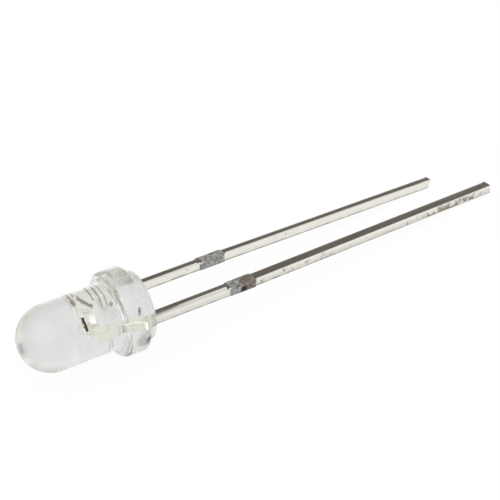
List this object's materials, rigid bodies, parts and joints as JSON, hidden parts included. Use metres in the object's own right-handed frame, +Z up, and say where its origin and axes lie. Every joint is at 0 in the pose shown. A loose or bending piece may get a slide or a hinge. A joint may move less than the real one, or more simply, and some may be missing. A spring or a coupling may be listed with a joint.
{
  "type": "through hole led",
  "caption": "Clear 3 mm light emitting diode with a domed lens, a flanged base and two straight leads of unequal length.",
  "frame": {"origin": "middle of the seating face, between the two leads", "axes": "+X from the lens towards the lead tips, 5.3 degrees above the diode's own axis, which slopes down to the tips as it lies; +Y towards the cathode; +Z up"},
  "size_m": [0.0248, 0.0035, 0.004],
  "materials": {
    "clear_resin": "cast clear epoxy resin, glossy",
    "tinned_steel": "tin plated steel, satin, rough where it was sheared",
    "silver_adhesive": "silver filled epoxy adhesive",
    "semiconductor": "sawn and polished semiconductor",
    "gold_wire": "drawn gold wire"
  },
  "bodies": {
    "root": {"lens_body": "clear_resin", "anode_lead": "tinned_steel", "cathode_lead": "tinned_steel", "chip_adhesive": "silver_adhesive", "led_chip": "semiconductor", "bond_wire": "gold_wire"}
  },
  "joints": []
}
